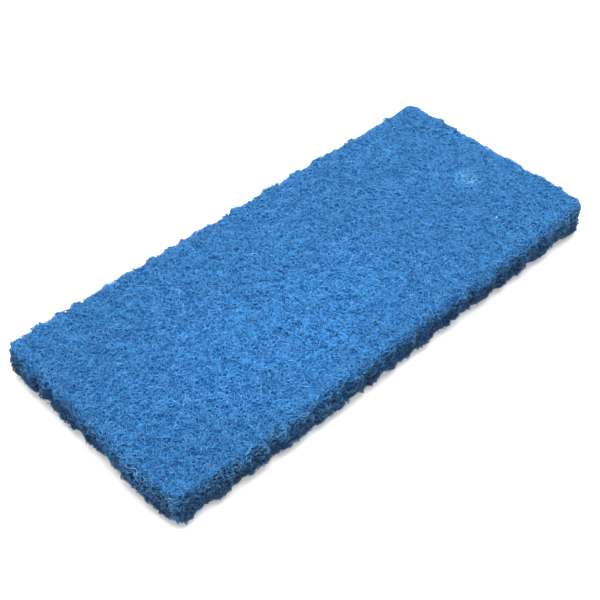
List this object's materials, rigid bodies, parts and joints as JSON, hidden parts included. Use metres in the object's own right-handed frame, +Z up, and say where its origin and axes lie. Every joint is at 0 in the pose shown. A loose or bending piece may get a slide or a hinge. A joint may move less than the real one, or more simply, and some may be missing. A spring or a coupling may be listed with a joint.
{
  "type": "grout float scrub pad",
  "caption": "Thick rectangular scrub pad of bonded non-woven web, held under a grout float or pad holder to scrub and emulsify grout haze on tile.",
  "frame": {"origin": "centre of the pad's underside, on the surface that it lies on", "axes": "+X along the length, +Y across the width, +Z up through the thickness"},
  "size_m": [0.254, 0.114, 0.019],
  "materials": {
    "face_web": "matt open web of blue resin-coated nylon fibre, lightly glinting on the raised fibres",
    "core_web": "matt cut edge of the same blue web, darker because the fibres end there and the pores show"
  },
  "bodies": {
    "root": {"bottom_face_ply": "face_web", "core_ply_1": "core_web", "core_ply_2": "core_web", "core_ply_3": "core_web", "top_face_ply": "face_web"}
  },
  "joints": []
}
